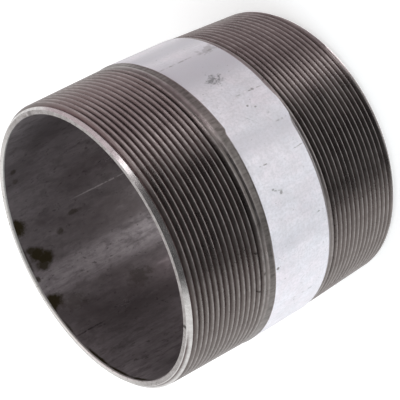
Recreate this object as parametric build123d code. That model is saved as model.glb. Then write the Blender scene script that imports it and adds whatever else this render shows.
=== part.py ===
"""A short steel nipple that joins two 4 inch pipe fittings.

It is one piece of zinc-coated tube. A die has cut a taper pipe thread on each end, down to
bare steel, and the zinc is left as a plain band between the two threads. The nipple stands
on its lower end, with the middle of that end's face at the origin and its axis along +Z.

Each threaded end is modelled by the outline that the die leaves: a flat ring of a face, a
chamfer that leads the thread in from just under its roots, the cone that the thread's crests
lie on, which grows by 1 in 16 of its diameter, and a small step up to the tube where the die
stopped. The turns themselves are too fine for this model. They lie inside that cone, no
deeper than the thread's height.
"""

from build123d import *
import os

# Tube, in millimetres
length = 101.6
tube_diameter = 114.3
wall = 5.0
bore_bevel = 0.3

# Taper pipe thread of 11 turns to the inch. Its size is given at the gauge plane, where the
# crests are this much smaller across than the tube that they were cut from.
pitch = 25.4 / 11
height_per_pitch = 0.640327
taper = 1 / 16
gauge_length = 25.4
gauge_drop = 1.27

# What the die and the deburring tool did at each end, as distances in from that end's face
lead_chamfer = 1.8
chamfer_under_roots = 0.3
upper_cut = 39.1
lower_cut = 37.0
step_run = 0.4

tube_radius = tube_diameter / 2
bore_radius = tube_radius - wall
gauge_radius = (tube_diameter - gauge_drop) / 2
thread_height = height_per_pitch * pitch


def crest_radius(depth):
    """Radius of the cone that the crests lie on, at a distance in from the end's face."""
    return gauge_radius + (depth - gauge_length) * taper / 2


def threaded_end(cut):
    """Outline of one threaded end, from its face to the tube, as (radius, distance in)."""
    face_edge = (crest_radius(0) - thread_height - chamfer_under_roots, 0)
    first_crest = (crest_radius(lead_chamfer), lead_chamfer)
    last_crest = (crest_radius(cut - step_run), cut - step_run)
    plain_tube = (tube_radius, cut)
    return [face_edge, first_crest, last_crest, plain_tube]


def nipple_section():
    """The section through the wall on one side of the axis, as (radius, height) points."""
    lower_end = threaded_end(lower_cut)
    upper_end = [(radius, length - depth) for radius, depth in threaded_end(upper_cut)]
    bore = [
        (bore_radius + bore_bevel, length),
        (bore_radius, length - bore_bevel),
        (bore_radius, bore_bevel),
        (bore_radius + bore_bevel, 0),
    ]
    return lower_end + upper_end[::-1] + bore


with BuildPart() as nipple:
    with BuildSketch(Plane.XZ):
        with BuildLine():
            Polyline(nipple_section(), close=True)
        make_face()
    revolve(axis=Axis.Z)

os.makedirs("parts", exist_ok=True)
export_step(nipple.part, "parts/pipe_nipple.step")
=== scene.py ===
# %% [markdown]
# A 4 inch pipe nipple, standing on its end.
#
# The real thing is a short piece of zinc-coated tube. A die has cut a taper thread on each
# end, and that took the zinc off, so only a band round the middle is still silvery white.
# The solid model gives the tube, the cones that the crests lie on and the steps beside the
# band. What it leaves out is the thread itself, and that is what this script adds: a real
# helix, with flanks that catch the light, and a finish for each of the four kinds of surface.

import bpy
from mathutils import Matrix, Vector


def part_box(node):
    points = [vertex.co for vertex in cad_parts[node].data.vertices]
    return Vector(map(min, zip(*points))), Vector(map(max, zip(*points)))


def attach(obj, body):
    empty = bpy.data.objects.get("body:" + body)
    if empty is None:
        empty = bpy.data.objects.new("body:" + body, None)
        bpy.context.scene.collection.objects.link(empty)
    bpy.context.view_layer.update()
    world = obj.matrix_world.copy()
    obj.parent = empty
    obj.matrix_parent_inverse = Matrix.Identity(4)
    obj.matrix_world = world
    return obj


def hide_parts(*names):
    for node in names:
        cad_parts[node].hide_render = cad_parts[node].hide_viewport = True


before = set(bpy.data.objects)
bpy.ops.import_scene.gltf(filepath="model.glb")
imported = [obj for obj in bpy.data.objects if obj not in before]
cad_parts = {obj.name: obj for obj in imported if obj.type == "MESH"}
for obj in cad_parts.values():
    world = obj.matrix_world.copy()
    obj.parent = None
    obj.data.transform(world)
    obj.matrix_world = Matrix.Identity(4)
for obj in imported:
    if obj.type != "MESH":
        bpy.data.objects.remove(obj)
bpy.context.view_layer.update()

import math

import bpy
import numpy as np
from mathutils import Quaternion, Vector

scene = bpy.context.scene
MM = 0.001

# %% [markdown]
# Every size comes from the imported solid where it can. Its box gives the length and the tube's
# radius. The thread is a standard one: 11 turns to the inch, on a cone that widens by 1 in 16,
# with flanks that meet at 55 degrees, which makes it 0.64 of a pitch deep.

# %% Sizes, in metres
low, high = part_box("pipe_nipple")
LENGTH = high[2] - low[2]
TUBE_RADIUS = (high[0] - low[0]) / 2
WALL = 5.0 * MM
BORE_RADIUS = TUBE_RADIUS - WALL
BORE_BEVEL = 0.3 * MM

PITCH = 25.4 * MM / 11
THREAD_HEIGHT = 0.640327 * PITCH
TAPER = 1 / 16
GAUGE_LENGTH = 25.4 * MM
GAUGE_RADIUS = TUBE_RADIUS - 0.635 * MM
LEAD_CHAMFER = 1.8 * MM
FACE_RADIUS = GAUGE_RADIUS - GAUGE_LENGTH * TAPER / 2 - THREAD_HEIGHT - 0.3 * MM
STEP_RUN = 0.4 * MM
print("length %.1f mm, tube radius %.2f mm" % (LENGTH / MM, TUBE_RADIUS / MM))

# %% [markdown]
# A thread is one groove wound round a cone. Its depth depends on a single number, the phase:
# how far a point is along the axis, counted in pitches from the nearest crest of the helix.
# As the angle goes once round, a right-hand crest climbs by one pitch. So the whole surface
# is a formula, and no groove has to be swept or cut out of the tube.

# %% The thread's groove
CREST_HALF = 1 / 12
ROOT_HALF = 1 / 12


def groove_share(phase):
    """Share of the thread's height cut away: 0 on the crest, 1 on the root, straight between.
    The phase is folded to the distance from the nearest crest, from 0 to half a pitch."""
    away = np.abs((phase + 0.5) % 1.0 - 0.5)
    return np.clip((away - CREST_HALF) / (0.5 - CREST_HALF - ROOT_HALF), 0, 1)


def crest_cone(depth):
    """Radius of the crests: the gauge radius, plus half the taper times the way past the gauge."""
    return GAUGE_RADIUS + (depth - GAUGE_LENGTH) * TAPER / 2


print("thread %.2f mm deep, crests at the face %.2f mm" % (THREAD_HEIGHT / MM, crest_cone(0) / MM))

# %% [markdown]
# The groove doesn't run at full depth to the end of the cut. The first teeth of a die are
# ground back, so the last turns come out shallower, one after the other, and beyond them the
# teeth only shave the tube smooth. At the pipe's face a chamfer cuts through the first turns
# and leads the fitting on.

# %% A threaded end: its radius at any angle and height
# How deep in the groove a point lies, how much it belongs to the chamfer, how much to the part
# that was only shaved, and how much to the last full turn, where the cutting oil stayed
FINISH_SHARES = ("groove", "chamfer", "shaved", "oily")


def fade(depth, last_full):
    """Share of full depth that the die reached: 1 up to the last full turn, then about a third
    of it for one turn, then nothing. Each part is a straight ramp, clipped at its two ends."""
    first = np.clip((last_full + 1.1 * MM - depth) / (0.9 * MM), 0, 1)
    second = np.clip((last_full + 3.4 * MM - depth) / (0.9 * MM), 0, 1)
    return 0.68 * first + 0.32 * second


def threaded_end(angle, height, end_height, crest_at, last_full):
    """Outer radius of a threaded end: the crest cone less the groove, cut by the lead chamfer.
    With it come shares from 0 to 1 for the finish, in the order of FINISH_SHARES."""
    depth = np.abs(end_height - height)
    phase = (height - crest_at) / PITCH - angle / math.tau
    groove = groove_share(phase) * fade(depth, last_full)
    threaded = crest_cone(depth) - THREAD_HEIGHT * groove
    slope = (crest_cone(LEAD_CHAMFER) - FACE_RADIUS) / LEAD_CHAMFER
    chamfer = FACE_RADIUS + slope * depth
    on_chamfer = np.clip((threaded - chamfer) / (0.06 * MM) + 0.5, 0, 1)
    shaved = np.clip((depth - last_full - 2.6 * MM) / (0.6 * MM), 0, 1)
    oily = np.clip(1 - np.abs(depth - last_full + 0.8 * MM) / (1.6 * MM), 0, 1)
    return np.minimum(threaded, chamfer), (groove, on_chamfer, shaved, oily)


# %% [markdown]
# The zinc doesn't end in a clean ring. The die has four cutters, and where it stopped each one
# left its own little ramp, so the edge of the band jumps where one cutter's cut ends. A photo
# of the real part shows one jump on each edge. The upper edge's other three are guessed to be
# like it, and the lower edge keeps only the one that is seen.

# %% The two edges of the zinc band
CUTTERS = 4


def upper_edge(angle):
    """Height of the band's upper edge. From each cutter's mark it dips, then climbs back."""
    turn = (np.degrees(angle) - 14.0) % (360 / CUTTERS) / (360 / CUTTERS)
    away = 39.5 - 1.5 * np.clip(turn * 2.0, 0, 1) + 0.8 * np.clip(turn * 2.0 - 1.0, 0, 1)
    return LENGTH - away * MM


def lower_edge(angle):
    """Height of the band's lower edge: nearly level, with one short step by the first mark."""
    degrees = (np.degrees(angle) + 180.0) % 360.0 - 180.0
    step = np.clip((degrees - 7.0) / 3.0, 0, 1) * np.clip((24.0 - degrees) / 7.0, 0, 1)
    wear_and_highlight = np.clip((degrees - 20.0) / 5.0, 0, 1) * np.clip((150 - degrees) / 40, 0, 1)
    return (37.1 - 0.5 * wear_and_highlight - 1.2 * step) * MM


# %% [markdown]
# The whole nipple is one closed mesh, kept as numpy arrays until it is done. A small class
# collects rows of points that run round the tube, with the shares that the finish will need,
# and joins one row to the next with triangles.

# %% Collect rows of points and join them
COLUMNS = 240
THREAD, ZINC, FACE, BORE = range(4)
angle = np.arange(COLUMNS) * math.tau / COLUMNS


class Skin:
    """Rows of points and the faces between them, for one mesh."""

    def __init__(self):
        self.points, self.shares, self.faces, self.kinds = [], [], [], []
        self.count = 0

    def add_points(self, radius, height, shares=(0.0, 0.0, 0.0, 0.0)):
        """Adds a grid of points in cylindrical form, and returns their numbers."""
        x = radius * np.cos(angle)
        y = radius * np.sin(angle)
        self.points.append(np.stack([x, y, height + 0 * x], -1).reshape(-1, 3))
        spread_out = [np.broadcast_to(share, x.shape) for share in shares]
        self.shares.append(np.stack(spread_out, -1).reshape(-1, len(shares)))
        numbers = np.arange(self.count, self.count + x.size).reshape(x.shape)
        self.count += x.size
        return numbers

    def add_ring(self, radius, height):
        """Adds one row, at a radius and a height that may each be a number or change round it."""
        return self.add_points(radius + 0 * angle[None, :], height + 0 * angle[None, :])[0]

    def add_faces(self, corners, kind):
        """Adds quads as two triangles each, and leaves out a triangle that has no area."""
        a, b, c, d = [part.reshape(-1) for part in corners]
        triangles = np.concatenate([np.stack([a, b, c], -1), np.stack([a, c, d], -1)])
        first, second, third = triangles.T
        whole = (first != second) & (second != third) & (third != first)
        self.faces.append(triangles[whole])
        self.kinds.append(np.full(whole.sum(), kind))

    def bridge(self, lower, upper, kind):
        """Faces between two rows of points, given from the lower to the upper."""
        self.add_faces((lower, np.roll(lower, -1), np.roll(upper, -1), upper), kind)

    def stack_rings(self, start, profile, kind):
        """Rings at (radius, height) pairs, each joined to the one before, from a start row."""
        for radius, height in profile:
            ring = self.add_ring(radius, height)
            self.bridge(start, ring, kind)
            start = ring
        return start


# %% [markdown]
# In a threaded end the rows follow the helix. That puts an edge of the mesh exactly on each
# side of every crest and every root, so a turn needs only eight rows to look sharp. The end of
# a row joins the row one pitch further on. Where a row would leave its end of the tube it is
# held at the border, and the faces that shrink to nothing there are left out.

# %% Lay the rows of one threaded end along the helix
STATIONS = np.array([0.045, 0.115, 0.385, 0.455, 0.545, 0.615, 0.885, 0.955])


def add_threaded_end(skin, bottom, top, end_height, crest_at, last_full):
    """Adds one threaded end between two borders, given by height for each angle. Returns the
    numbers of the points along each border."""
    first = math.floor((bottom.min() - crest_at) / PITCH) - 2
    last = math.ceil((top.max() - crest_at) / PITCH) + 2
    phases = (np.arange(first, last)[:, None] + STATIONS[None, :]).reshape(-1)
    free = crest_at + (phases[:, None] + angle[None, :] / math.tau) * PITCH
    height = np.clip(free, bottom, top)
    radius, shares = threaded_end(angle, height, end_height, crest_at, last_full)
    numbers = skin.add_points(radius, height, shares)

    held_low = free <= bottom
    held_high = free >= top
    column = np.arange(COLUMNS)
    low_border = numbers[held_low.sum(0) - 1, column]
    high_border = numbers[len(phases) - held_high.sum(0), column]
    numbers = np.where(held_low, low_border, np.where(held_high, high_border, numbers))
    next_turn = np.minimum(np.arange(len(phases)) + len(STATIONS), len(phases) - 1)
    following = np.concatenate([numbers[:, 1:], numbers[next_turn, :1]], axis=1)
    skin.add_faces((numbers[:-1], following[:-1], following[1:], numbers[1:]), THREAD)
    return low_border, high_border


# %% [markdown]
# Now the nipple is put together from the floor up: the lower thread, the step up to the zinc,
# the band, the step down and the upper thread. Then the skin turns in over the upper face,
# goes down the bore and comes out across the lower face, where it meets its own start. Just
# inside each mouth the deburring left a bare bright lip, so those rows count as the face.

# %% Put the skin together
UPPER_CREST_AT = LENGTH - 1.02 * MM
LOWER_CREST_AT = 2.42 * MM
BAND_ROWS = 12
FACE_ROWS = 4
BORE_ROWS = 24
BARE_LIP = 0.9 * MM
skin = Skin()

lower_outside, lower_top = add_threaded_end(
    skin, 0 * angle, lower_edge(angle) - STEP_RUN, 0.0, LOWER_CREST_AT, 33.6 * MM)
upper_bottom, upper_outside = add_threaded_end(
    skin, upper_edge(angle) + STEP_RUN, LENGTH + 0 * angle, LENGTH, UPPER_CREST_AT, 33.0 * MM)

band_start = skin.add_ring(TUBE_RADIUS, lower_edge(angle))
skin.bridge(lower_top, band_start, THREAD)
mixes = np.linspace(0, 1, BAND_ROWS + 1)[1:]
band_heights = [lower_edge(angle) * (1 - mix) + upper_edge(angle) * mix for mix in mixes]
band_end = skin.stack_rings(band_start, [(TUBE_RADIUS, height) for height in band_heights], ZINC)
skin.bridge(band_end, upper_bottom, THREAD)

face_radii = np.linspace(FACE_RADIUS, BORE_RADIUS + BORE_BEVEL, FACE_ROWS)[1:]
bore_heights = np.linspace(LENGTH - BARE_LIP, BARE_LIP, BORE_ROWS)
inside = skin.stack_rings(upper_outside, [(radius, LENGTH) for radius in face_radii], FACE)
lip = [(BORE_RADIUS, LENGTH - BORE_BEVEL), (BORE_RADIUS, LENGTH - BARE_LIP)]
inside = skin.stack_rings(inside, lip, FACE)
inside = skin.stack_rings(inside, [(BORE_RADIUS, height) for height in bore_heights[1:]], BORE)
inside = skin.stack_rings(inside, [(BORE_RADIUS, BORE_BEVEL)], FACE)
inside = skin.stack_rings(inside, [(radius, 0.0) for radius in face_radii[::-1]], FACE)
skin.bridge(inside, lower_outside, FACE)

points = np.concatenate(skin.points)
shares = np.concatenate(skin.shares)
triangles = np.concatenate(skin.faces)
kinds = np.concatenate(skin.kinds)
used = np.zeros(len(points), bool)
used[triangles.reshape(-1)] = True
new_number = np.cumsum(used) - 1
points, shares, triangles = points[used], shares[used], new_number[triangles]
print("skin: %d points, %d triangles" % (len(points), len(triangles)))

# %% [markdown]
# A mesh that is made by hand deserves a test. In a closed skin every edge is shared by exactly
# two faces. And if the faces point outwards, the signed volumes under them add up to the
# volume of the steel, here about 150 cubic centimetres less the grooves.

# %% Test the skin
edges = np.concatenate([triangles[:, [0, 1]], triangles[:, [1, 2]], triangles[:, [2, 0]]])
_, uses = np.unique(np.sort(edges, axis=1), axis=0, return_counts=True)
corner = points[triangles]
volume = np.einsum("ij,ij->i", corner[:, 0], np.cross(corner[:, 1], corner[:, 2])).sum() / 6
print("edges not shared by two faces: %d" % (uses != 2).sum())
print("volume %.1f cm3" % (volume * 1e6))


# %% [markdown]
# The arrays go into a Blender mesh in one step each. The four shares become attributes, which
# the materials read by name. The piece then replaces the plain solid on its body.

# %% Make the nipple's object
def make_object(name, points, triangles):
    """A smooth-shaded object from arrays of points and of triangles."""
    mesh = bpy.data.meshes.new(name)
    mesh.vertices.add(len(points))
    mesh.vertices.foreach_set("co", points.reshape(-1).astype(np.float32))
    mesh.loops.add(triangles.size)
    mesh.loops.foreach_set("vertex_index", triangles.reshape(-1).astype(np.int32))
    mesh.polygons.add(len(triangles))
    mesh.polygons.foreach_set("loop_start", np.arange(0, triangles.size, 3, dtype=np.int32))
    mesh.polygons.foreach_set("use_smooth", np.ones(len(triangles), bool))
    mesh.update(calc_edges=True)
    made = bpy.data.objects.new(name, mesh)
    scene.collection.objects.link(made)
    return made


nipple = make_object("nipple_with_threads", points, triangles)
nipple.data.polygons.foreach_set("material_index", kinds.astype(np.int32))
for number, name in enumerate(FINISH_SHARES):
    attribute = nipple.data.attributes.new(name, "FLOAT", "POINT")
    attribute.data.foreach_set("value", shares[:, number].astype(np.float32))
nipple.data.set_sharp_from_angle(angle=math.radians(32))
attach(nipple, "root")
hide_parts("pipe_nipple")
print("attributes:", [name for name in FINISH_SHARES if name in nipple.data.attributes])

# %% [markdown]
# The finishes are node trees. Two small helpers keep them readable: one adds a node, and links
# an input when it is given a socket or sets it when it is given a value. The other makes an
# empty node group with named sockets, for effects that more than one finish uses.

# %% Helpers for node trees
def put(tree, kind, inputs, **settings):
    """Adds a node with its settings, and fills its inputs from sockets or plain values."""
    node = tree.nodes.new(kind)
    for name, value in settings.items():
        setattr(node, name, value)
    for key, value in inputs.items():
        if isinstance(value, bpy.types.NodeSocket):
            tree.links.new(value, node.inputs[key])
        else:
            node.inputs[key].default_value = value
    return node


def reckon(tree, operation, *values, clamp=False):
    """The result of one math node."""
    inputs = dict(enumerate(values))
    return put(tree, "ShaderNodeMath", inputs, operation=operation, use_clamp=clamp).outputs[0]


def spread(tree, value, low, high, to_low=0.0, to_high=1.0):
    """A value moved smoothly from one range to another, and held at the ends."""
    inputs = {"Value": value, "From Min": low, "From Max": high, "To Min": to_low, "To Max": to_high}
    return put(tree, "ShaderNodeMapRange", inputs, interpolation_type="SMOOTHSTEP").outputs["Result"]


def blend(tree, share, first, second, how="MIX"):
    """Two colours mixed, by a share from 0 to 1 of the second."""
    node = put(tree, "ShaderNodeMix", {"Factor": share}, data_type="RGBA", blend_type=how)
    for socket, color in ((node.inputs[6], first), (node.inputs[7], second)):
        if isinstance(color, bpy.types.NodeSocket):
            tree.links.new(color, socket)
        else:
            socket.default_value = (*color, 1)
    return node.outputs[2]


def new_group(name, inputs, output):
    """A node group with number inputs after its Place, and the sockets to build it between."""
    group = bpy.data.node_groups.new(name, "ShaderNodeTree")
    group.interface.new_socket("Place", in_out="INPUT", socket_type="NodeSocketVector")
    for label, value in inputs.items():
        group.interface.new_socket(label, in_out="INPUT", socket_type="NodeSocketFloat").default_value = value
    group.interface.new_socket(output, in_out="OUTPUT", socket_type="NodeSocketFloat")
    given = group.nodes.new("NodeGroupInput").outputs
    result = group.nodes.new("NodeGroupOutput").inputs[output]
    return group, given, result


def use_group(tree, group, place, **values):
    """Adds a group to a tree and returns its output. Its inputs are named in the call."""
    inputs = {"Place": place} | {label.replace("_", " "): value for label, value in values.items()}
    return put(tree, "ShaderNodeGroup", inputs, node_tree=group).outputs[0]


# %% [markdown]
# Drawn tube is streaked along its length, and a turned end is streaked round it. Both are the
# same noise, stretched one way or the other. So one group does all the grain: it counts the
# cells to a metre round the tube and along it, and widens what it gets to a clear 0 to 1.

# %% A group for grain, streaks and clouds
grain, given, result = new_group(
    "grain", {"Round": 100.0, "Along": 100.0, "Low": 0.35, "High": 0.65}, "Amount")
cells = put(grain, "ShaderNodeCombineXYZ", {"X": given["Round"], "Y": given["Round"], "Z": given["Along"]})
stretched = put(grain, "ShaderNodeVectorMath", {0: given["Place"], 1: cells.outputs[0]}, operation="MULTIPLY")
noise = put(grain, "ShaderNodeTexNoise",
            {"Vector": stretched.outputs[0], "Scale": 1.0, "Detail": 4.0, "Roughness": 0.62})
grain.links.new(spread(grain, noise.outputs["Fac"], given["Low"], given["High"]), result)

# %% [markdown]
# Scratches, seams and dirt lines lie at known places. To draw one, its group turns the part
# about its axis until the mark is straight ahead, at plus x. There the distance to the side is
# just y, and the distance along is z. A line is where both are small. It wavers a little and
# noise leaves gaps in it, which Whole closes.

# %% A group for one line, at an angle and a height
line_mark, given, result = new_group(
    "line_mark",
    {"Angle": 0.0, "Height": 0.0, "Lean": 0.0, "Length": 0.01, "Width": 0.0003, "Waver": 0.5, "Whole": 0.0},
    "Amount")
turned = put(line_mark, "ShaderNodeVectorRotate",
             {"Vector": given["Place"], "Angle": reckon(line_mark, "MULTIPLY", given["Angle"], -1.0)},
             rotation_type="Z_AXIS")
ahead, side, height = put(line_mark, "ShaderNodeSeparateXYZ", {0: turned.outputs[0]}).outputs
along = reckon(line_mark, "SUBTRACT", height, given["Height"])
leaning = reckon(line_mark, "SUBTRACT", side, reckon(line_mark, "MULTIPLY", along, given["Lean"]))
ripple = put(line_mark, "ShaderNodeTexNoise", {"Vector": given["Place"], "Scale": 700.0, "Detail": 3.0})
shift = reckon(line_mark, "SUBTRACT", ripple.outputs["Fac"], 0.5)
shift = reckon(line_mark, "MULTIPLY", shift, given["Waver"])
off_line = reckon(line_mark, "ABSOLUTE", reckon(line_mark, "DIVIDE", leaning, given["Width"]))
off_line = reckon(line_mark, "ADD", off_line, reckon(line_mark, "MULTIPLY", shift, 4.0))
off_end = reckon(line_mark, "DIVIDE", reckon(line_mark, "ABSOLUTE", along), given["Length"])
across_part = spread(line_mark, off_line, 1.0, 0.2)
length_part = spread(line_mark, off_end, 0.5, 0.2)
front_part = reckon(line_mark, "GREATER_THAN", ahead, 0.0)
gaps = put(line_mark, "ShaderNodeTexNoise", {"Vector": given["Place"], "Scale": 520.0, "Detail": 2.0})
kept = spread(line_mark, reckon(line_mark, "ADD", gaps.outputs["Fac"], given["Whole"]), 0.42, 0.58)
both = reckon(line_mark, "MULTIPLY", reckon(line_mark, "MULTIPLY", across_part, length_part), kept)
line_mark.links.new(reckon(line_mark, "MULTIPLY", both, front_part), result)

# %% [markdown]
# A stain or a nick is drawn the same way, but it fades out from a centre. Noise added to the
# distance makes its edge ragged, so it looks like something that spread or was knocked.

# %% A group for one blot, at an angle and a height
blot, given, result = new_group(
    "blot", {"Angle": 0.0, "Height": 0.0, "Wide": 0.003, "Tall": 0.003, "Ragged": 1.0, "Soft": 0.4}, "Amount")
turned = put(blot, "ShaderNodeVectorRotate",
             {"Vector": given["Place"], "Angle": reckon(blot, "MULTIPLY", given["Angle"], -1.0)},
             rotation_type="Z_AXIS")
ahead, side, height = put(blot, "ShaderNodeSeparateXYZ", {0: turned.outputs[0]}).outputs
wide = reckon(blot, "DIVIDE", side, given["Wide"])
tall = reckon(blot, "DIVIDE", reckon(blot, "SUBTRACT", height, given["Height"]), given["Tall"])
square = reckon(blot, "ADD", reckon(blot, "MULTIPLY", wide, wide), reckon(blot, "MULTIPLY", tall, tall))
away = reckon(blot, "SQRT", square)
ragged = put(blot, "ShaderNodeTexNoise",
             {"Vector": given["Place"], "Scale": 420.0, "Detail": 5.0, "Roughness": 0.7})
tear = reckon(blot, "MULTIPLY", reckon(blot, "SUBTRACT", ragged.outputs["Fac"], 0.5), given["Ragged"])
edge = reckon(blot, "SUBTRACT", 1.0, reckon(blot, "ADD", away, reckon(blot, "MULTIPLY", tear, 2.0)))
inside = reckon(blot, "DIVIDE", edge, given["Soft"], clamp=True)
blot.links.new(reckon(blot, "MULTIPLY", inside, reckon(blot, "GREATER_THAN", ahead, 0.0)), result)
print("groups:", [group.name for group in bpy.data.node_groups])


# %% [markdown]
# Each finish starts from the same few nodes, and many of its marks come from a short list. The
# marks are laid over each other, and where two meet the stronger one shows.

# %% Start a finish, and gather its marks
def new_finish(name):
    """A material with its shader and the place of each point on the object."""
    material = bpy.data.materials.new(name)
    material.use_nodes = True
    tree = material.node_tree
    place = put(tree, "ShaderNodeTexCoord", {}).outputs["Object"]
    return material, tree, tree.nodes["Principled BSDF"], place


def strongest(tree, masks):
    """The largest of several masks at each point."""
    total = masks[0]
    for mask in masks[1:]:
        total = reckon(tree, "MAXIMUM", total, mask)
    return total


def lines_at(tree, place, marks, waver=0.5, whole=0.0):
    """Lines from a list of (degrees, millimetres from the upper face, lean, length, width, strength)."""
    masks = []
    for degrees, below, lean, length, width, strength in marks:
        mask = use_group(tree, line_mark, place, Angle=math.radians(degrees), Height=LENGTH - below * MM,
                         Lean=lean, Length=length * MM, Width=width * MM, Waver=waver, Whole=whole)
        masks.append(reckon(tree, "MULTIPLY", mask, strength))
    return strongest(tree, masks)


def blots_at(tree, place, marks, soft=0.4):
    """Blots from a list of (degrees, millimetres from the upper face, wide, tall, ragged, strength)."""
    masks = []
    for degrees, below, wide, tall, raggedness, strength in marks:
        mask = use_group(tree, blot, place, Angle=math.radians(degrees), Height=LENGTH - below * MM,
                         Wide=wide * MM, Tall=tall * MM, Ragged=raggedness, Soft=soft)
        masks.append(reckon(tree, "MULTIPLY", mask, strength))
    return strongest(tree, masks)


def bumped(tree, shader, height, distance, strength=1.0):
    """Bends the shader's normal by a height, over a distance in metres."""
    node = put(tree, "ShaderNodeBump", {"Height": height, "Distance": distance, "Strength": strength})
    tree.links.new(node.outputs["Normal"], shader.inputs["Normal"])


# %% [markdown]
# Freshly cut steel is bright on the crests, where the die and every hand has rubbed it, and
# brown-black in the grooves, where cutting oil dried. The groove attribute gives that change.
# Fine noise drawn out round the tube stands for the tool's lines, and cloudy noise for the
# chatter and the oil. The chamfer is a smooth bright cut, and the shaved part a dull grey. A few
# specks of oil dried by the last turns, and below the band a paler ring of zinc was smeared on.

# %% The finish of the threads
OIL_SPOTS = (
    # degrees, mm below the upper face, wide, tall, ragged, strength
    (-28.9, 31.4, 0.7, 0.9, 1.6, 0.8),
    (-38.5, 33.9, 0.6, 0.6, 1.6, 0.7),
    (-45, 31.5, 0.6, 1.0, 1.6, 0.8),
    (152, 32.0, 0.8, 1.0, 1.6, 0.8),
)


def cut_steel():
    """Cut steel, by the four attributes of the mesh."""
    material, tree, shader, place = new_finish("cut_steel")
    groove = put(tree, "ShaderNodeAttribute", {}, attribute_name="groove").outputs["Fac"]
    on_chamfer = put(tree, "ShaderNodeAttribute", {}, attribute_name="chamfer").outputs["Fac"]
    shaved = put(tree, "ShaderNodeAttribute", {}, attribute_name="shaved").outputs["Fac"]
    oily = put(tree, "ShaderNodeAttribute", {}, attribute_name="oily").outputs["Fac"]
    clouds = use_group(tree, grain, place, Round=90.0, Along=120.0, Low=0.3, High=0.7)
    chatter = use_group(tree, grain, place, Round=420.0, Along=45.0, Low=0.32, High=0.68)
    tool_lines = use_group(tree, grain, place, Round=14.0, Along=5200.0, Low=0.3, High=0.7)

    crest = blend(tree, clouds, (0.285, 0.262, 0.254), (0.375, 0.347, 0.336))
    crest = blend(tree, reckon(tree, "MULTIPLY", chatter, 0.55), crest, (0.18, 0.15, 0.145))
    flank = blend(tree, clouds, (0.132, 0.115, 0.108), (0.195, 0.173, 0.163))
    root = blend(tree, chatter, (0.098, 0.068, 0.066), (0.145, 0.108, 0.105))
    color = blend(tree, spread(tree, groove, 0.02, 0.34), crest, flank)
    color = blend(tree, spread(tree, groove, 0.35, 0.95), color, root)
    chips = use_group(tree, grain, place, Round=900.0, Along=900.0, Low=0.56, High=0.66)
    oil = reckon(tree, "MULTIPLY", oily, reckon(tree, "ADD", groove, reckon(tree, "MULTIPLY", chips, 0.7)))
    oil = reckon(tree, "MULTIPLY", oil, 0.85, clamp=True)
    oil = reckon(tree, "MAXIMUM", oil, blots_at(tree, place, OIL_SPOTS))
    color = blend(tree, oil, color, (0.030, 0.022, 0.020))
    nap = use_group(tree, grain, place, Round=900.0, Along=260.0, Low=0.35, High=0.65)
    dull = blend(tree, nap, (0.130, 0.117, 0.109), (0.220, 0.200, 0.190))
    color = blend(tree, shaved, color, dull)
    height = put(tree, "ShaderNodeSeparateXYZ", {0: place}).outputs["Z"]
    # The smeared ring starts just under the band, and the second part keeps it to the lower end
    smeared = reckon(tree, "MULTIPLY", spread(tree, height, 35.2 * MM, 35.9 * MM),
                     spread(tree, height, 45 * MM, 50 * MM, 1.0, 0.0))
    color = blend(tree, reckon(tree, "MULTIPLY", smeared, 0.85), color, (0.38, 0.35, 0.355))
    bright = blend(tree, chatter, (0.56, 0.54, 0.53), (0.70, 0.68, 0.67))
    color = blend(tree, on_chamfer, color, bright)
    tree.links.new(color, shader.inputs["Base Color"])

    roughness = spread(tree, clouds, 0.0, 1.0, 0.26, 0.36)
    roughness = reckon(tree, "SUBTRACT", roughness, reckon(tree, "MULTIPLY", on_chamfer, 0.10))
    roughness = reckon(tree, "ADD", roughness, reckon(tree, "MULTIPLY", shaved, 0.12))
    tree.links.new(roughness, shader.inputs["Roughness"])
    shader.inputs["Metallic"].default_value = 0.92
    shader.inputs["Sheen Weight"].default_value = 0.12
    shader.inputs["Sheen Roughness"].default_value = 0.5
    shader.inputs["Sheen Tint"].default_value = (1.0, 0.92, 0.91, 1)
    relief = reckon(tree, "ADD", tool_lines, reckon(tree, "MULTIPLY", chatter, 0.8))
    relief = reckon(tree, "MULTIPLY", relief, spread(tree, on_chamfer, 0.0, 1.0, 1.0, 0.15))
    bumped(tree, shader, relief, 0.008 * MM, 0.7)
    return material


# %% [markdown]
# The zinc is a soft silvery white with a hint of lavender, streaked along the tube from the
# rolls. Broad faint darker stripes come first, and those at 43 and 63 degrees are painted shade
# on the side where less light falls. Then come thin dirt lines and scratches at the places where
# they are seen on the real part, and a grey scuff. Its shine is weak, as on any hot-dipped pipe.

# %% The finish of the zinc band
# The stripes at 43 and 63 degrees are painted shade on the side where less light falls
STRIPES_AND_SHADE = (
    # degrees, mm below the upper face, lean, length, width, strength
    (43, 52, 0.0, 90, 15.0, 0.75),
    (63, 52, 0.0, 90, 9.0, 0.70),
    (7, 52, 0.03, 90, 6.5, 0.45),
    (-31, 46, 0.0, 40, 5.0, 0.25),
    (95, 52, 0.0, 90, 9.0, 0.4),
    (150, 52, 0.0, 90, 12.0, 0.5),
    (205, 52, 0.04, 90, 8.0, 0.45),
    (262, 52, 0.0, 90, 11.0, 0.4),
)
DIRT_LINES = (
    (50, 46, 0.0, 20, 0.5, 0.5),
    (49.5, 61, 0.0, 12, 0.9, 0.55),
    (24, 57.5, 0.03, 15, 0.28, 0.65),
    (9.5, 61.5, 0.0, 7, 0.5, 0.45),
    (-2, 45.5, 0.05, 5, 0.35, 0.7),
    (-1.5, 62, -0.05, 6, 0.3, 0.6),
    (-26, 62, 0.0, 5, 0.35, 0.6),
    (-27, 40.5, 0.0, 4, 0.6, 0.5),
    (-48, 38.6, 0.0, 3.5, 0.6, 0.6),
    (-12, 46.5, 0.3, 5, 0.4, 0.6),
    (118, 47, 0.03, 16, 0.4, 0.5),
    (171, 58, -0.04, 12, 0.3, 0.5),
    (233, 50, 0.02, 20, 0.4, 0.5),
    (301, 54, 0.0, 14, 0.4, 0.5),
)
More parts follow.
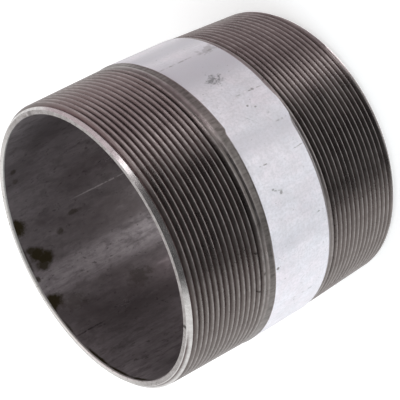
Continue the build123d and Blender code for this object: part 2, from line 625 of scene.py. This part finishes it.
SCRATCHES = (
    (14.5, 50, 1.2, 6, 0.2, 0.8),
    (-48, 53.5, -1.1, 7, 0.2, 0.8),
    (-36, 41.3, 0.9, 3.5, 0.2, 0.7),
    (18, 54, -1.6, 5, 0.2, 0.6),
    (12, 57, 2.0, 4, 0.2, 0.5),
    (135, 55, 0.8, 10, 0.2, 0.7),
    (197, 47, -1.3, 8, 0.2, 0.7),
    (285, 56, 0.7, 9, 0.2, 0.7),
)
SPOTS = (
    (19, 53, 0.5, 0.5, 0.8, 0.7),
    (17.5, 55.5, 0.4, 0.6, 0.8, 0.6),
    (24, 59.5, 0.7, 0.8, 1.4, 0.6),
    (50, 61.5, 2.2, 3.6, 3.2, 0.3),
    (-39, 39.4, 0.7, 0.9, 1.0, 0.8),
    (-11, 44.8, 0.5, 0.6, 1.2, 0.6),
    (-13, 47.6, 0.7, 0.7, 1.4, 0.6),
    (160, 43, 2.0, 1.6, 3.0, 0.35),
    (250, 60, 2.4, 1.8, 3.0, 0.35),
)
SCUFF = ((34, 50, 3.4, 3.6, 2.4, 0.75),)


def zinc_coat():
    """The plain zinc between the threads."""
    material, tree, shader, place = new_finish("zinc_coat")
    clouds = use_group(tree, grain, place, Round=70.0, Along=60.0, Low=0.3, High=0.7)
    patches = use_group(tree, grain, place, Round=210.0, Along=150.0, Low=0.34, High=0.7)
    streaks = use_group(tree, grain, place, Round=520.0, Along=22.0, Low=0.36, High=0.7)
    wiped = use_group(tree, grain, place, Round=60.0, Along=1100.0, Low=0.4, High=0.75)
    fine = use_group(tree, grain, place, Round=1200.0, Along=1000.0, Low=0.4, High=0.64)
    specks = use_group(tree, grain, place, Round=850.0, Along=650.0, Low=0.65, High=0.74)
    tint = use_group(tree, grain, place, Round=150.0, Along=130.0, Low=0.38, High=0.62)

    color = blend(tree, clouds, (0.83, 0.76, 0.815), (0.88, 0.84, 0.885))
    color = blend(tree, reckon(tree, "MULTIPLY", tint, 0.6), color, (0.79, 0.79, 0.845))
    # Broad darker stripes, partly painted shade (at 43 and 63 degrees)
    color = blend(tree, lines_at(tree, place, STRIPES_AND_SHADE, waver=0.0, whole=1.0), color, (0.50, 0.485, 0.535))
    color = blend(tree, reckon(tree, "MULTIPLY", streaks, 0.20), color, (0.60, 0.58, 0.62))
    color = blend(tree, reckon(tree, "MULTIPLY", patches, 0.36), color, (0.60, 0.585, 0.61))
    color = blend(tree, reckon(tree, "MULTIPLY", wiped, 0.22), color, (0.60, 0.585, 0.61))
    color = blend(tree, reckon(tree, "MULTIPLY", fine, 0.42), color, (0.58, 0.555, 0.585))
    dirt = strongest(tree, [lines_at(tree, place, DIRT_LINES), blots_at(tree, place, SPOTS),
                            reckon(tree, "MULTIPLY", specks, 0.5)])
    color = blend(tree, dirt, color, (0.16, 0.145, 0.125))
    scuff = reckon(tree, "MULTIPLY", blots_at(tree, place, SCUFF), spread(tree, fine, 0.2, 0.6, 0.35, 1.0))
    color = blend(tree, scuff, color, (0.16, 0.16, 0.165))
    scratch = lines_at(tree, place, SCRATCHES, whole=0.1)
    color = blend(tree, reckon(tree, "MULTIPLY", scratch, 0.6), color, (0.30, 0.29, 0.30))
    tree.links.new(color, shader.inputs["Base Color"])

    roughness = spread(tree, clouds, 0.0, 1.0, 0.40, 0.52)
    roughness = reckon(tree, "ADD", roughness, reckon(tree, "MULTIPLY", dirt, 0.25))
    tree.links.new(roughness, shader.inputs["Roughness"])
    shader.inputs["Metallic"].default_value = 0.35
    relief = reckon(tree, "ADD", reckon(tree, "MULTIPLY", streaks, 0.6), reckon(tree, "MULTIPLY", fine, 0.3))
    relief = reckon(tree, "SUBTRACT", relief, reckon(tree, "ADD", scratch, dirt))
    bumped(tree, shader, relief, 0.012 * MM, 0.8)
    return material


# %% [markdown]
# The ends were sawn and faced, so their lines run round the hole. On a flat ring the grain has
# to follow the radius instead of the height. So the place is bent first: the radius is given
# to the group as if it were the height. Rust freckles sit where the steel was left bare, and
# the side away from the camera is painted lighter: a painted highlight.

# %% The finish of the two end faces
NICKS = (
    (-45, 0.2, 0.9, 1.2, 1.2, 1.0),
    (79, 0.2, 1.3, 1.2, 2.4, 0.5),
)


def faced_end():
    """Bare faced steel, lined round the hole."""
    material, tree, shader, place = new_finish("faced_end")
    x, y, z = put(tree, "ShaderNodeSeparateXYZ", {0: place}).outputs
    square = reckon(tree, "ADD", reckon(tree, "MULTIPLY", x, x), reckon(tree, "MULTIPLY", y, y))
    radius = reckon(tree, "SQRT", square)
    bent = put(tree, "ShaderNodeCombineXYZ", {"X": x, "Y": y, "Z": radius}).outputs[0]
    lines = use_group(tree, grain, bent, Round=25.0, Along=6000.0, Low=0.3, High=0.7)
    clouds = use_group(tree, grain, place, Round=110.0, Along=110.0, Low=0.3, High=0.7)
    grime = use_group(tree, grain, place, Round=520.0, Along=520.0, Low=0.42, High=0.62)
    freckles = use_group(tree, grain, place, Round=1100.0, Along=1100.0, Low=0.58, High=0.68)
    # The far side of the face, away from the camera, is painted lighter: a painted highlight
    rubbing_and_highlight = spread(tree, x, 0.0, -35 * MM)

    color = blend(tree, clouds, (0.40, 0.375, 0.37), (0.52, 0.50, 0.495))
    color = blend(tree, reckon(tree, "MULTIPLY", grime, 0.6), color, (0.27, 0.245, 0.235))
    # Painted highlight: the far side of the face made lighter
    color = blend(tree, rubbing_and_highlight, color, (0.80, 0.785, 0.76))
    color = blend(tree, reckon(tree, "MULTIPLY", lines, 0.3), color, (0.30, 0.275, 0.26))
    color = blend(tree, reckon(tree, "MULTIPLY", freckles, 0.6), color, (0.12, 0.10, 0.075))
    nicks = blots_at(tree, place, NICKS)
    color = blend(tree, nicks, color, (0.07, 0.06, 0.055))
    tree.links.new(color, shader.inputs["Base Color"])

    roughness = spread(tree, clouds, 0.0, 1.0, 0.36, 0.46)
    roughness = reckon(tree, "ADD", roughness, reckon(tree, "MULTIPLY", freckles, 0.2))
    tree.links.new(roughness, shader.inputs["Roughness"])
    shader.inputs["Metallic"].default_value = 0.7
    relief = reckon(tree, "SUBTRACT", lines, reckon(tree, "MULTIPLY", nicks, 6.0))
    bumped(tree, shader, relief, 0.01 * MM, 0.8)
    return material


# %% [markdown]
# Inside, the tube still has its dark rolling scale, a charcoal with a breath of purple. It is
# streaked along the bore and rubbed lighter in patches, and painted highlights lie on it: light
# streaks along the bore and light patches near the mouth. Oil and rust have run from the mouth
# in a few olive-brown stains, and the welded seam is a faint light line.

# %% The finish of the bore
BORE_STAINS = (
    (157.3, 2.0, 4.4, 4.6, 0.7, 1.0),
    (168.8, 4.2, 2.0, 3.0, 0.6, 0.9),
    (171.2, 6.0, 3.4, 4.4, 0.6, 1.0),
    (174.0, 8.4, 3.8, 4.6, 0.6, 1.0),
    (176.4, 6.6, 3.2, 3.8, 0.6, 0.9),
    (192.3, 2.8, 3.8, 5.2, 0.6, 1.0),
    (194.2, 1.4, 2.8, 3.4, 0.6, 1.0),
    (197, 10, 4.0, 6.0, 1.4, 0.35),
    (201, 40, 4.5, 7.0, 1.6, 0.35),
    (167, 19, 1.6, 2.2, 0.8, 0.6),
    (161.5, 27.5, 1.3, 3.6, 1.0, 0.6),
    (130.5, 4.8, 1.6, 1.6, 0.8, 0.6),
    (136, 5.4, 1.3, 1.6, 0.8, 0.5),
    (181, 1.4, 1.6, 1.4, 0.8, 0.8),
    (227, 1.2, 2.2, 1.2, 0.8, 0.8),
    (226, 1.3, 9.0, 1.0, 0.6, 1.0),
    (241, 1.3, 9.0, 1.0, 0.6, 1.0),
    (256, 1.3, 9.0, 1.0, 0.6, 1.0),
    (206, 1.2, 5.0, 0.8, 0.8, 0.7),
    (172, 1.2, 8.0, 0.8, 0.8, 0.6),
    (20, 95, 4.0, 3.0, 1.4, 0.7),
)
# Painted highlights: light streaks along the bore
BORE_HIGHLIGHT_STREAKS = (
    (184.5, 50, 0.0, 190, 9.0, 0.75),
    (240, 30, 0.0, 150, 26.0, 0.5),
    (98, 20, 0.0, 90, 8.0, 0.35),
    (20, 60, 0.0, 90, 10.0, 0.4),
)
# Painted highlights: light patches just inside the upper mouth
MOUTH_HIGHLIGHTS = (
    (252, 1.0, 36.0, 24.0, 0.4, 1.0),
    (99, 1.0, 26.0, 16.0, 0.4, 0.6),
)
BORE_LINES = (
    (211.5, 8, 0.0, 18, 0.5, 0.75),
    (300, 55, 0.01, 40, 0.4, 0.35),
)
SEAM = ((156, 43, 0.0, 34, 0.4, 0.55),)


def bore_scale():
    """Dark rolling scale in the bore."""
    material, tree, shader, place = new_finish("bore_scale")
    clouds = use_group(tree, grain, place, Round=60.0, Along=34.0, Low=0.32, High=0.66)
    streaks = use_group(tree, grain, place, Round=420.0, Along=22.0, Low=0.38, High=0.72)
    fine = use_group(tree, grain, place, Round=1100.0, Along=420.0, Low=0.3, High=0.75)
    rubbing_and_highlight = use_group(tree, grain, place, Round=190.0, Along=75.0, Low=0.50, High=0.72)
    pits = use_group(tree, grain, place, Round=620.0, Along=380.0, Low=0.60, High=0.70)
    blotches = use_group(tree, grain, place, Round=360.0, Along=170.0, Low=0.48, High=0.66)

    color = blend(tree, clouds, (0.185, 0.158, 0.160), (0.285, 0.252, 0.258))
    color = blend(tree, reckon(tree, "MULTIPLY", rubbing_and_highlight, 0.4), color, (0.40, 0.36, 0.375))
    # Painted highlights from the two lists above, broken up by the streaks
    wear_and_highlight = strongest(tree, [lines_at(tree, place, BORE_HIGHLIGHT_STREAKS, waver=0.0, whole=1.0),
                            blots_at(tree, place, MOUTH_HIGHLIGHTS, soft=0.9)])
    wear_and_highlight = reckon(tree, "MULTIPLY", wear_and_highlight, spread(tree, streaks, 0.0, 1.0, 1.0, 0.7))
    color = blend(tree, wear_and_highlight, color, (0.60, 0.545, 0.565))
    color = blend(tree, reckon(tree, "MULTIPLY", blotches, 0.45), color, (0.135, 0.115, 0.115))
    color = blend(tree, reckon(tree, "MULTIPLY", streaks, 0.22), color, (0.13, 0.112, 0.12))
    color = blend(tree, reckon(tree, "MULTIPLY", fine, 0.35), color, (0.14, 0.122, 0.13))
    color = blend(tree, reckon(tree, "MULTIPLY", pits, 0.6), color, (0.08, 0.068, 0.068))
    color = blend(tree, lines_at(tree, place, BORE_LINES, whole=0.15), color, (0.045, 0.04, 0.04))
    color = blend(tree, lines_at(tree, place, SEAM, waver=0.2, whole=0.1), color, (0.75, 0.70, 0.70))
    stains = blots_at(tree, place, BORE_STAINS, soft=0.5)
    color = blend(tree, stains, color, (0.040, 0.030, 0.012))
    tree.links.new(color, shader.inputs["Base Color"])

    roughness = spread(tree, clouds, 0.0, 1.0, 0.36, 0.46)
    roughness = reckon(tree, "SUBTRACT", roughness, reckon(tree, "MULTIPLY", rubbing_and_highlight, 0.10))
    roughness = reckon(tree, "ADD", roughness, reckon(tree, "MULTIPLY", stains, 0.15))
    tree.links.new(roughness, shader.inputs["Roughness"])
    shader.inputs["Metallic"].default_value = 0.75
    relief = reckon(tree, "ADD", reckon(tree, "MULTIPLY", streaks, 0.5), reckon(tree, "MULTIPLY", fine, 0.5))
    bumped(tree, shader, relief, 0.02 * MM, 0.8)
    return material


# %% [markdown]
# The four finishes go on in the order of the numbers that the faces were given.

# %% Put the finishes on
for finish in (cut_steel(), zinc_coat(), faced_end(), bore_scale()):
    nipple.data.materials.append(finish)
    print("%-10s %d nodes" % (finish.name, len(finish.node_tree.nodes)))

# %% [markdown]
# The camera stands where the photographer's did. Its place, direction and roll were worked out
# from the outline of the tube and the ellipse of its mouth. It is near, so the far end looks
# smaller than the near one, and it is rolled over, so the standing nipple seems to lie down.

# %% Camera
CAMERA_AT = Vector((439.4, 0.0, 323.2)) * MM
LOOK_AT = Vector((0.5, -2.7, 50.0)) * MM
ROLL = math.radians(-117.85)
camera_data = bpy.data.cameras.new("camera")
camera_data.lens = 123.6
camera_data.sensor_width = 36
camera = bpy.data.objects.new("camera", camera_data)
camera.location = CAMERA_AT
camera.rotation_mode = "QUATERNION"
facing = (CAMERA_AT - LOOK_AT).to_track_quat("Z", "Y")
camera.rotation_quaternion = facing @ Quaternion((0, 0, 1), ROLL)
scene.collection.objects.link(camera)
scene.camera = camera
print("camera is %.0f mm from the middle of the part" % ((CAMERA_AT - LOOK_AT).length / MM))

# %% [markdown]
# A plain white sweep for a floor. To the camera it glows a little, so that it reads as white
# paper, and the shadow of the part still shows on it. The glow is not there for any other ray,
# so it throws no light on the part. Reflections pass the floor by, and see the world instead.

# %% Floor
REACH = 4.0
floor_mesh = bpy.data.meshes.new("floor")
floor_corners = [(-REACH, -REACH, 0), (REACH, -REACH, 0), (REACH, REACH, 0), (-REACH, REACH, 0)]
floor_mesh.from_pydata(floor_corners, [], [(0, 1, 2, 3)])
floor = bpy.data.objects.new("floor", floor_mesh)
floor.visible_glossy = False
scene.collection.objects.link(floor)
paper, tree, shader, place = new_finish("white_paper")
shader.inputs["Base Color"].default_value = (0.88, 0.88, 0.88, 1)
shader.inputs["Roughness"].default_value = 0.9
shader.inputs["Emission Color"].default_value = (1, 1, 1, 1)
seen = put(tree, "ShaderNodeLightPath", {}).outputs["Is Camera Ray"]
tree.links.new(reckon(tree, "MULTIPLY", seen, 0.4), shader.inputs["Emission Strength"])
floor.data.materials.append(paper)

# %% [markdown]
# The light is a white room: an even white world, and one large soft lamp on the side from which
# the photo is lit. The world is plain white to the camera and in reflections, and a little
# dimmer as a light, so that pale zinc doesn't burn out. The lamp is hidden from reflections,
# because cards stand for the lamps there.

# %% World and lamp
WORLD_LIGHT = 0.83
world = bpy.data.worlds.new("white_room")
scene.world = world
world.use_nodes = True
background = world.node_tree.nodes["Background"]
background.inputs["Color"].default_value = (1, 1, 1, 1)
rays = put(world.node_tree, "ShaderNodeLightPath", {}).outputs
seen = reckon(world.node_tree, "MAXIMUM", rays["Is Camera Ray"], rays["Is Glossy Ray"])
seen = reckon(world.node_tree, "MAXIMUM", seen, rays["Is Transmission Ray"])
level = spread(world.node_tree, seen, 0.0, 1.0, WORLD_LIGHT, 1.0)
world.node_tree.links.new(level, background.inputs["Strength"])

KEY_AT = Vector((0.55, -1.1, 0.45))
key_data = bpy.data.lights.new("soft_key", "AREA")
key_data.shape = "SQUARE"
key_data.size = 0.9
key_data.energy = 9.5
key_data.color = (0.84, 0.95, 1.0)
key = bpy.data.objects.new("soft_key", key_data)
key.location = KEY_AT
key.rotation_mode = "QUATERNION"
key.rotation_quaternion = (KEY_AT - LOOK_AT).to_track_quat("Z", "Y")
key.visible_glossy = False
scene.collection.objects.link(key)

# %% [markdown]
# Bare metal shows its surroundings more than its own colour. The dark belt across the threads
# in the photo is the dark side of the studio, round the camera, with a lamp's edge beside it.
# Curved cards stand for these. They lie on a cylinder round the part, whose axis is square to
# the line of sight, and only reflections see them: they neither shade the part nor light it.

# %% Cards that only reflections see
CARD_RADIUS = 1.2
towards_camera = (CAMERA_AT - LOOK_AT).normalized()
sideways = Vector((0, 1, 0)) - towards_camera.y * towards_camera
sideways.normalize()
card_axis = towards_camera.cross(sideways).normalized()


def arc_card(name, angles, reaches, color, strength):
    """Part of that cylinder, between two angles in degrees from the line of sight and between
    two distances along the axis, in metres, where up and over the part is positive."""
    turn, reach = np.meshgrid(np.radians(np.linspace(*angles, 13)), np.linspace(*reaches, 13), indexing="ij")
    outward = (np.cos(turn)[..., None] * np.array(towards_camera)
               + np.sin(turn)[..., None] * np.array(sideways))
    corners = CARD_RADIUS * outward + reach[..., None] * np.array(card_axis) + np.array(LOOK_AT)
    number = np.arange(turn.size).reshape(turn.shape)
    quads = np.stack([number[:-1, :-1], number[1:, :-1], number[1:, 1:], number[:-1, 1:]], -1)
    mesh = bpy.data.meshes.new(name)
    mesh.from_pydata(corners.reshape(-1, 3).tolist(), [], quads.reshape(-1, 4).tolist())
    card = bpy.data.objects.new(name, mesh)
    scene.collection.objects.link(card)
    card_paint, tree, shader, place = new_finish(name)
    shader.inputs["Base Color"].default_value = (0.0, 0.0, 0.0, 1)
    shader.inputs["Specular IOR Level"].default_value = 0.0
    shader.inputs["Roughness"].default_value = 1.0
    shader.inputs["Emission Color"].default_value = (*color, 1)
    shader.inputs["Emission Strength"].default_value = strength
    card.data.materials.append(card_paint)
    card.visible_camera = False
    card.visible_diffuse = False
    card.visible_shadow = False
    return card


arc_card("dark_side", (-48.6, 25.8), (-0.9, 1.3), (1, 0.85, 0.85), 0.02)
arc_card("dim_ceiling", (-58.0, 25.8), (1.3, 4.2), (1, 0.72, 0.73), 0.42)
arc_card("lamp_edge", (30.0, 37.0), (-0.9, 4.2), (1, 0.95, 0.97), 3.0)
arc_card("rosy_wall", (37.0, 114.0), (0.9, 4.2), (1, 0.84, 0.88), 1.3)
arc_card("rosy_foot", (37.0, 114.0), (-0.9, 0.9), (1, 0.84, 0.90), 0.56)
arc_card("low_left", (-100.0, -58.0), (-2.6, -0.6), (1, 0.93, 0.92), 0.10)
arc_card("low_gap", (46.0, 59.0), (-2.6, -0.9), (1, 0.92, 0.94), 0.28)
arc_card("low_lamp", (59.0, 73.0), (-2.6, -0.9), (1, 0.92, 0.95), 3.2)
arc_card("low_right", (73.0, 112.0), (-2.6, -0.9), (1, 0.92, 0.94), 0.28)
print("cards at %.1f m round the part" % CARD_RADIUS)

# %% [markdown]
# Last, the plain view transform, which shows a colour as it is written.

# %% The view transform
scene.view_settings.view_transform = "Standard"
